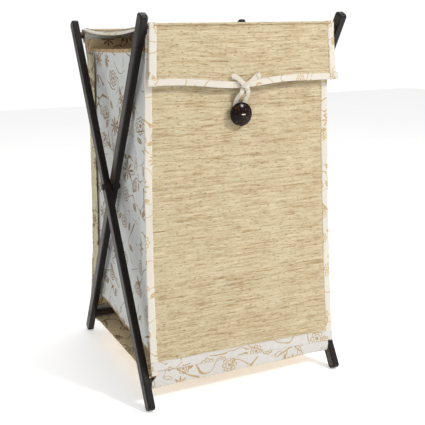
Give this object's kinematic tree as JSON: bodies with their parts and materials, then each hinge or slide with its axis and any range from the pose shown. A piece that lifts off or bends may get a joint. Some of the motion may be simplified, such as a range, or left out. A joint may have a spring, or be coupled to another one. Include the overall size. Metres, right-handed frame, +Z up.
{
  "type": "folding laundry basket",
  "caption": "Folding X-frame laundry basket with a cloth-lined woven straw bag, lid sheet, front flap, and a loop and button closure",
  "frame": {"origin": "on the floor at the middle of the footprint", "axes": "+Z up, +X to the right seen from the front, front with the flap towards -Y"},
  "size_m": [0.4268, 0.4156, 0.687],
  "materials": {
    "dark_wood": "satin near-black stain and lacquer",
    "dark_metal": "blackened steel",
    "woven_straw": "matte hand-woven straw with fine uneven strands",
    "printed_cotton": "matte white cotton with a sparse golden-brown plant print",
    "lining_cotton": "matte natural cotton lining with a sparse brown plant print",
    "cotton_tape": "matte off-white cotton tape",
    "coconut": "polished coconut shell, dark brown with lighter flecks",
    "thread": "white sewing thread"
  },
  "bodies": {
    "frame_a": {"leg_a_left": "dark_wood", "leg_a_right": "dark_wood", "top_rail_front": "dark_wood", "bottom_rail_rear": "dark_wood", "rail_screws_a": "dark_metal", "rail_plugs_a": "dark_wood", "pivot_bolt_left": "dark_metal", "pivot_bolt_right": "dark_metal", "pivot_washer_left": "dark_metal", "pivot_washer_right": "dark_metal", "pivot_nut_left": "dark_metal", "pivot_nut_right": "dark_metal"},
    "frame_b": {"leg_b_left": "dark_wood", "leg_b_right": "dark_wood", "top_rail_rear": "dark_wood", "bottom_rail_front": "dark_wood", "rail_screws_b": "dark_metal", "rail_plugs_b": "dark_wood"},
    "bag_front": {"front_sleeve": "lining_cotton", "front_lining": "lining_cotton", "front_mat": "woven_straw", "front_binding_left": "printed_cotton", "front_binding_right": "printed_cotton", "front_hem": "printed_cotton", "button_shank": "thread", "side_panel_left": "printed_cotton", "side_panel_right": "printed_cotton", "side_hem_left": "printed_cotton", "side_hem_right": "printed_cotton"},
    "bag_back": {"back_sleeve": "lining_cotton", "back_lining": "lining_cotton", "back_mat": "woven_straw", "back_binding_left": "printed_cotton", "back_binding_right": "printed_cotton", "back_hem": "printed_cotton"},
    "skirt_front": {"front_skirt": "printed_cotton", "base_panel": "lining_cotton"},
    "skirt_back": {"back_skirt": "printed_cotton"},
    "lid": {"lid_lining": "lining_cotton", "lid_mat": "woven_straw", "lid_binding_right": "printed_cotton"},
    "lid_edge": {"lid_binding_left": "printed_cotton"},
    "flap": {"flap_lining": "lining_cotton", "flap_mat": "woven_straw", "flap_binding_left": "printed_cotton", "flap_binding_right": "printed_cotton", "flap_binding_bottom": "printed_cotton", "closure_tie": "cotton_tape", "closure_loop": "cotton_tape"},
    "button": {"button": "coconut", "button_stitch": "thread"}
  },
  "joints": [
    {"name": "fold", "type": "hinge", "parent": "frame_a", "child": "frame_b", "pos_m": [0, 0, 0.36851], "axis": [1, 0, 0], "range_deg": [0, 50], "deforming": ["side_panel_left", "side_panel_right", "side_hem_left", "side_hem_right", "base_panel", "closure_loop", "lid_mat", "lid_lining", "lid_binding_right"]},
    {"name": "bag_front_hang", "type": "hinge", "parent": "frame_a", "child": "bag_front", "pos_m": [0, -0.15837, 0.6567], "axis": [1, 0, 0], "range_deg": [-1, 27.65]},
    {"name": "bag_back_hang", "type": "hinge", "parent": "frame_b", "child": "bag_back", "pos_m": [0, 0.15837, 0.6567], "axis": [1, 0, 0], "range_deg": [-27.65, 1]},
    {"name": "skirt_front_hang", "type": "hinge", "parent": "frame_b", "child": "skirt_front", "pos_m": [0, -0.17833, 0.044], "axis": [1, 0, 0], "range_deg": [-24.35, 1]},
    {"name": "skirt_back_hang", "type": "hinge", "parent": "frame_a", "child": "skirt_back", "pos_m": [0, 0.17833, 0.044], "axis": [1, 0, 0], "range_deg": [-1, 24.35]},
    {"name": "lid_lift", "type": "hinge", "parent": "bag_back", "child": "lid", "pos_m": [0, 0.1676, 0.6657], "axis": [-1, 0, 0], "range_deg": [0, 235]},
    {"name": "lid_slack", "type": "slide", "parent": "lid", "child": "lid_edge", "axis": [0, 1, 0], "range_m": [0, 0.2751]},
    {"name": "flap_lift", "type": "hinge", "parent": "lid_edge", "child": "flap", "pos_m": [0, -0.1727, 0.6657], "axis": [-1, 0, 0], "range_deg": [0, 88]},
    {"name": "button_turn", "type": "hinge", "parent": "bag_front", "child": "button", "pos_m": [-0.01, -0.1774, 0.512], "axis": [0, -1, 0], "range_deg": [-60, 60]}
  ],
  "couplings": [
    {"joint": "bag_front_hang", "follows": "fold", "ratio": 0.533},
    {"joint": "bag_back_hang", "follows": "fold", "ratio": -0.533},
    {"joint": "skirt_front_hang", "follows": "fold", "ratio": -0.467},
    {"joint": "skirt_back_hang", "follows": "fold", "ratio": 0.467},
    {"joint": "lid_slack", "follows": "fold", "m_per_rad": 0.31295}
  ]
}
